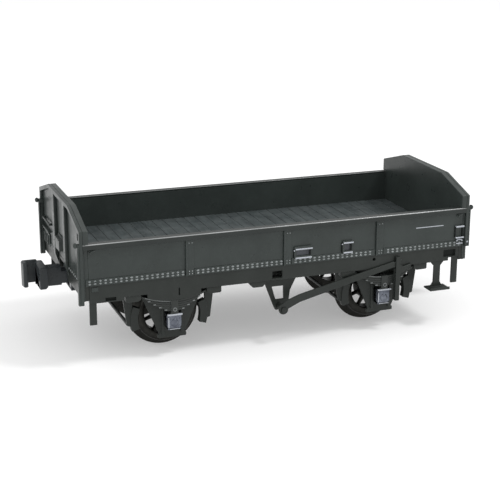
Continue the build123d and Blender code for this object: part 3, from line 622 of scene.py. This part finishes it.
def spring_shape(solid):
    """Left near spring: five leaves with rounded tips, buckle and its bolts."""
    low, high = node_box("leaf_spring_left_near")
    x = -axle_x
    half = (high.x - low.x) / 2
    eye_z = high.z - LEAF_SPACING / 2
    y0 = high.y
    y1 = low.y + LEAF_SETBACK
    for number in range(LEAVES):
        reach = half * (1 - LEAF_SHORTENING * number) - 0.02
        steps = 24
        upper = []
        lower = []
        for step in range(steps + 1):
            run = -reach + 2 * reach * step / steps
            z = eye_z - spring_drop(run, half) - LEAF_SPACING * number
            taper = min(1.0, (reach - abs(run)) / 0.25 + 0.45)
            upper.append((x + run, z + LEAF_THICKNESS / 2))
            lower.append((x + run, z + LEAF_THICKNESS / 2 - LEAF_THICKNESS * taper))
        solid.prism(upper + lower[::-1], y0, y1)
    solid.box(x - 0.33, x + 0.33, y0, y1 - 0.1, low.z, eye_z - SPRING_SAG + 0.16)
    solid.box(x - 0.40, x + 0.40, y0, y1 - 0.02, low.z, low.z + 0.1)
    solid.round_edges(0.03)
    solid.dome((x, y1 - 0.1, low.z + 0.45), (0, -1, 0), 0.17, 0.04, 20, 3)
    solid.dome((x, y1 - 0.12, low.z + 0.45), (0, -1, 0), 0.09, 0.06)
    for side in (-1, 1):
        solid.dome((x + side * 0.2, (y0 + y1) / 2, eye_z - SPRING_SAG + 0.15), (0, 0, 1), 0.1, 0.07)


def axlebox_highlight_shape(solid):
    """Painted highlights on the lid edge, one side and the foot rim of the left near axlebox."""
    low, high = node_box("axlebox_left_near")
    x = -axle_x
    front = low.y
    solid.box(x - 0.70, x + 0.70, front + 0.2, front + 0.01, high.z - 0.12, high.z + 0.02)
    solid.box(x - 0.60, x - 0.50, front + 0.2, front + 0.14, low.z + 0.2, high.z - 0.3)
    solid.box(x - 0.46, x + 0.5, front + 0.24, front + 0.13, low.z + 0.03, low.z + 0.09)
    solid.round_edges(0.02)


def spring_highlight_shape(solid):
    """Painted highlights along the top edge and on the leaf tips of the left near spring, and the ring
    on its buckle.
    """
    low, high = node_box("leaf_spring_left_near")
    x = -axle_x
    half = (high.x - low.x) / 2
    y = low.y + LEAF_SETBACK
    top = []
    for step in range(13):
        run = -half * 0.9 + half * 0.8 * step / 12
        top.append((x + run, y + 0.01, high.z - 0.05 - spring_drop(run, half)))
    solid.tube(top, 0.035, 8)
    for number in range(1, LEAVES):
        reach = half * (1 - LEAF_SHORTENING * number) - 0.05
        z = high.z - LEAF_SPACING / 2 - spring_drop(reach, half) - LEAF_SPACING * number
        for side in (-1, 1):
            tip = x + side * (reach - 0.1)
            solid.tube([(tip - 0.1, y - 0.005, z), (tip + 0.1, y - 0.005, z)], 0.05, 8)
    solid.ring((x + 0.02, y - 0.14, low.z + 0.45), (0, 1, 0), 0.15, 0.035)


def make_axleboxes_and_springs():
    to_right = Matrix.Translation((2 * axle_x, 0, 0))
    corners = {
        "left_near": Matrix.Identity(4),
        "left_far": half_turn,
        "right_near": to_right,
        "right_far": half_turn @ to_right,
    }
    for shape, node, material in (
        (axlebox_shape, "axlebox", box_gloss),
        (spring_shape, "leaf_spring", spring_paint),
        # The next two rows add painted highlights on the axleboxes and springs.
        (axlebox_highlight_shape, "axlebox_trim", highlight_paint),
        (spring_highlight_shape, "leaf_spring_trim", spring_highlight_paint),
    ):
        for corner, move in corners.items():
            solid = Solid()
            shape(solid)
            bmesh.ops.transform(solid.bm, matrix=move, verts=solid.bm.verts)
            name = f"{node}_{corner}"
            replaced = [name] if name in frame["nodes"] else []
            solid.place(f"{name}_detailed", "wagon", "axlebox_gloss", material, replaces=replaced)


# ---- rivets -------------------------------------------------------------------


def make_side_rivets():
    """Double row on the curb angles, with groups at the stanchions."""
    pitch = 0.47
    rows = (rail_z + 7.34, rail_z + 7.58)
    radius = 0.09
    height = 0.07
    gap = 0.5
    solid = Solid()
    count = int((curb_high.x - curb_low.x - 0.5) / pitch)
    start = -pitch * count / 2
    for number in range(count + 1):
        x = start + pitch * number
        if min(abs(x - place) for place in stanchion_places) < gap:
            continue
        for z in rows:
            size = radius * dice.uniform(0.9, 1.06)
            solid.dome((x, -curb_y, z), (0, -1, 0), size, height, stretch=1.5)
    for place in stanchion_places:
        for dx in (-0.04, 0.24):
            for z in (*rows, stanchion_high.z - 0.3):
                solid.dome((place + dx, -sheet_y - 0.09, z), (0, -1, 0), 0.06, 0.045)
    solid.copies(half_turn)
    # The rivets take the pale rivet paint: painted highlight on their heads.
    solid.place("side_rivets", "wagon", "body_paint", rivet_highlight_paint)


def make_end_rivets():
    """Row along each headstock and pairs up the end's ribs."""
    pitch = 0.62
    solid = Solid()
    for side in (-1, 1):
        for number in range(9):
            y = side * (2.1 + pitch * number)
            solid.dome((-end_face_x, y, rail_z + 7.2), (-1, 0, 0), 0.1, 0.075)
        for z in (9.2, 10.6, 12.0, 13.2):
            solid.dome((stiffener_low.x, side * 2.23, z), (-1, 0, 0), 0.075, 0.05)
    solid.copies(half_turn)
    # Pale rivet paint here too: painted highlight on the rivet heads.
    solid.place("end_rivets", "wagon", "body_paint", rivet_highlight_paint)


# ---- small fittings -----------------------------------------------------------


def corner_hook(solid, x, out):
    """Rope hook near the top of a side: a lug with a bent bar, out is +1 towards +X."""
    y = -sheet_y
    z = rail_z + 10.25
    solid.tube([(x, y + 0.02, z), (x, y - 0.12, z)], 0.13)
    bend = [(x, y - 0.1, z - 0.1), (x, y - 0.2, z - 0.06), (x + out * 0.12, y - 0.22, z + 0.06)]
    solid.tube(bend + [(x + out * 0.45, y - 0.2, z + 0.15)], 0.065)


def make_corner_knobs():
    """Caps on the top rails' ends, with a hook below each and a knob on its outer face."""
    solid = Solid()
    cap_start = 18.35
    cap_end = 19.14
    knob_x = 19.25
    knob_y = -8.3
    knob_z = rail_z + 10.95
    for x0, x1 in ((cap_start, cap_end), (-cap_end, -cap_start)):
        solid.box(x0, x1, -8.52, -8.0, rail_z + 10.7, rail_z + 11.04)
    solid.round_edges(0.09, segments=3)
    corner_hook(solid, 17.9, 1)
    corner_hook(solid, -18.0, 1)
    for side in (-1, 1):
        solid.tube([(side * 18.9, knob_y, knob_z), (side * knob_x, knob_y, knob_z)], 0.14)
        for way, height in ((side, 0.22), (-side, 0.14)):
            solid.dome((side * knob_x, knob_y, knob_z), (way, 0, 0), 0.24, height, 16, 4)
    solid.copies(half_turn)
    solid.place("corner_knobs", "wagon", "body_paint", replaces=["corner_fittings"])


def make_grab_irons():
    """Two-bar grab iron at one end of each side in pale paint as painted highlight, with painted
    shadows beside it, and a shackle below it.
    """
    irons = Solid()
    y = -sheet_y
    left = 17.72
    right = 18.46
    low = rail_z + 8.08
    high = rail_z + 9.17
    for x in (left, right):
        for z in (high, low):
            irons.tube([(x, y + 0.02, z), (x, y - 0.2, z)], 0.06)
    for z, radius in ((high, 0.085), (low, 0.075)):
        irons.tube([(left - 0.05, y - 0.22, z), (right + 0.05, y - 0.22, z)], radius)
    shackle_y = y - 0.16
    pin_z = rail_z + 7.49
    arch = []
    for step in range(9):
        a = step * pi / 8
        arch.append((18.1 + 0.3 * cos(a), shackle_y, rail_z + 7.72 + 0.16 * sin(a)))
    irons.tube(arch, 0.06)
    irons.tube([(17.78, shackle_y, pin_z), (18.44, shackle_y, pin_z)], 0.05)
    irons.dome((18.88, -8.5, rail_z + 7.62), (0, -1, 0), 0.12, 0.08, 14, 3)
    irons.copies(half_turn)
    # The grab iron, shackle and bolt are all in pale paint: painted highlight.
    irons.place("grab_irons", "wagon", "body_paint", highlight_paint)

    # Painted shadows beside the grab iron's ends and under its lower bar.
    shade = Solid()
    for x0, x1, z0, z1 in ((left - 0.12, left, low, high), (right - 0.1, right + 0.02, low, high)):
        shade.box(x0, x1, y, y - 0.1, z0, z1)
    shade.box(left, right, y, y - 0.03, low - 0.14, low - 0.06)
    shade.round_edges(0.015)
    shade.copies(half_turn)
    shade.place("grab_iron_shadows", "wagon", "body_paint", shadow_paint)


def make_corner_brackets():
    """Riveted bracket at the foot of one corner of each side, with a bolt beside it."""
    solid = Solid()
    solid.box(-18.1, -17.1, -sheet_y, -sheet_y - 0.1, rail_z + 7.16, rail_z + 7.66)
    solid.box(-17.92, -17.35, -sheet_y, -sheet_y - 0.07, rail_z + 6.62, rail_z + 6.98)
    solid.round_edges(0.02)
    for x in (-17.95, -17.6, -17.25):
        for z in (7.28, 7.55):
            solid.dome((x, -sheet_y - 0.1, rail_z + z), (0, -1, 0), 0.075, 0.06)
    solid.dome((-18.42, -sheet_y - 0.02, rail_z + 7.42), (0, -1, 0), 0.1, 0.08, 14)
    solid.dome((-17.64, -sheet_y - 0.07, rail_z + 6.8), (0, -1, 0), 0.08, 0.05)
    solid.copies(half_turn)
    solid.place("corner_brackets", "wagon", "body_paint")


def make_label_holder_light_and_shade():
    """Painted highlights along the label holders' bars, and painted shadows beside them."""
    y = -sheet_y
    # bright holds the painted highlights, and dark holds the painted shadows.
    bright = Solid()
    dark = Solid()
    for x0, x1, z0, z1 in ((1.12, 2.72, 7.66, 8.68), (5.92, 6.84, 7.70, 8.82)):
        for z, reach in ((z1 - 0.1, 0.07), (z0 + 0.08, 0.0)):
            bright.box(x0, x1 + reach, y - 0.17, y - 0.25, rail_z + z - 0.06, rail_z + z + 0.07)
        dark.box(x0 - 0.16, x0 - 0.03, y, y - 0.14, rail_z + z0 + 0.1, rail_z + z1 - 0.12)
        dark.box(x1 - 0.22, x1 - 0.04, y - 0.12, y - 0.19, rail_z + z0 + 0.16, rail_z + z1 - 0.18)
        bright.dome((x0 - 0.1, y - 0.14, rail_z + z1 - 0.22), (0, -1, 0), 0.07, 0.04)
    for solid, name, material in (
        (bright, "holder_bar_highlights", highlight_paint),
        (dark, "holder_shadows", shadow_paint),
    ):
        solid.round_edges(0.02)
        solid.copies(half_turn)
        solid.place(name, "wagon", "body_paint", material)


def make_recess_shade():
    """Dark backs of the recesses in the solebars."""
    solid = Solid()
    back = 0.27 - sheet_y
    recesses = (
        (-16.7, -15.75, 5.62, 5.92),
        (16.55, 17.85, 6.21, 6.9),
        (-10.02, -9.9, 5.42, 6.1),
    )
    for x0, x1, z0, z1 in recesses:
        solid.box(x0, x1, back + 0.01, back - 0.02, rail_z + z0, rail_z + z1)
    solid.copies(half_turn)
    solid.place("recess_shade", "wagon", "body_paint", shadow_paint)


def make_marks():
    """The plain painted line on each side, and the cards in the label holders."""
    line = Solid()
    stripe = rounded_outline(13.47, 16.4, rail_z + 9.35, rail_z + 9.43, 0.03, 0.03)
    line.prism(stripe, -sheet_y + 0.02, -sheet_y - 0.012)
    line.copies(half_turn)
    line.place("painted_line", "wagon", "body_paint", mark_paint)
    cards = Solid()
    back = -sheet_y - 0.06
    for x, z, width, height in ((1.87, 8.3, 1.3, 0.66), (6.35, 8.33, 0.58, 0.7)):
        x0, x1 = x - width / 2, x + width / 2
        z0, z1 = rail_z + z - height / 2, rail_z + z + height / 2
        cards.box(x0, x1, back + 0.02, back - 0.03, z0, z1)
    cards.round_edges(0.01)
    cards.copies(half_turn)
    cards.place("label_cards", "wagon", "body_paint", card_paint)


# ---- studio -------------------------------------------------------------------


def make_floor(half=1.5):
    s = Shading("studio_floor")
    s.set(s.shader, "Specular IOR Level", 0.0)
    s.set(s.shader, "Emission Color", (1, 1, 1, 1))
    s.set(s.shader, "Emission Strength", 0.3)
    s.finish((0.7, 0.7, 0.7, 1), 1.0)
    mesh = bpy.data.meshes.new("studio_floor")
    corners = [(-half, -half, 0), (half, -half, 0), (half, half, 0), (-half, half, 0)]
    mesh.from_pydata(corners, [], [(0, 1, 2, 3)])
    mesh.materials.append(s.material)
    obj = bpy.data.objects.new("studio_floor", mesh)
    bpy.context.scene.collection.objects.link(obj)


def area_light(name, place, target, size, watts, colour=(1, 1, 1)):
    data = bpy.data.lights.new(name, "AREA")
    data.shape = "DISK"
    data.size = size
    data.energy = watts
    data.color = colour
    obj = bpy.data.objects.new(name, data)
    obj.location = place
    obj.rotation_euler = (Vector(target) - Vector(place)).to_track_quat("-Z", "Y").to_euler()
    bpy.context.scene.collection.objects.link(obj)


def make_world(overhead, front, back):
    """Soft box overhead, with a lighter room in front of the model than behind it."""
    world = bpy.data.worlds.new("studio")
    world.use_nodes = True
    tree = world.node_tree
    direction = tree.nodes.new("ShaderNodeTexCoord").outputs["Generated"]
    split = tree.nodes.new("ShaderNodeSeparateXYZ")
    tree.links.new(direction, split.inputs[0])

    def blend(value, low, high, to_low, to_high):
        node = tree.nodes.new("ShaderNodeMapRange")
        node.interpolation_type = "SMOOTHSTEP"
        for socket, number in enumerate((value, low, high, to_low, to_high)):
            if isinstance(number, bpy.types.NodeSocket):
                tree.links.new(number, node.inputs[socket])
            else:
                node.inputs[socket].default_value = number
        return node.outputs["Result"]

    sides = blend(split.outputs["Y"], -0.3, 0.6, front, back)
    strength = blend(split.outputs["Z"], 0.45, 0.8, sides, overhead)
    background = tree.nodes["Background"]
    background.inputs["Color"].default_value = (1, 1, 1, 1)
    tree.links.new(strength, background.inputs["Strength"])
    bpy.context.scene.world = world


def make_camera(place, yaw, pitch, roll, focal_pixels):
    """Camera at place, turned yaw degrees from +Y towards +X and pitched down."""
    frame_pixels = 500
    data = bpy.data.cameras.new("camera")
    data.sensor_width = 36.0
    data.lens = focal_pixels * data.sensor_width / frame_pixels
    data.clip_start = 0.01
    data.clip_end = 10
    obj = bpy.data.objects.new("camera", data)
    turn = Matrix.Rotation(radians(-yaw), 4, "Z") @ Matrix.Rotation(radians(90 - pitch), 4, "X")
    obj.matrix_world = Matrix.Translation(place) @ turn @ Matrix.Rotation(radians(roll), 4, "Z")
    bpy.context.scene.collection.objects.link(obj)
    bpy.context.scene.camera = obj


finish_cad_nodes()
make_top_rails()
make_wheels()
make_axleboxes_and_springs()
make_side_rivets()
make_end_rivets()
make_corner_knobs()
make_grab_irons()
make_corner_brackets()
make_label_holder_light_and_shade()
make_recess_shade()
make_marks()
make_floor()
make_world(overhead=1.0, front=1.0, back=0.6)
wagon_middle = (0, 0, 0.008)
area_light("top_light", (0.14, -0.10, 0.27), wagon_middle, 0.07, 0.35)
area_light("left_light", (-0.26, 0.02, 0.14), wagon_middle, 0.12, 0.1)
make_camera((-41.38 * MM, -111.19 * MM, 42.77 * MM), 20.32, 16.84, 0.18, 1270.7)
bpy.context.scene.view_settings.view_transform = "Standard"
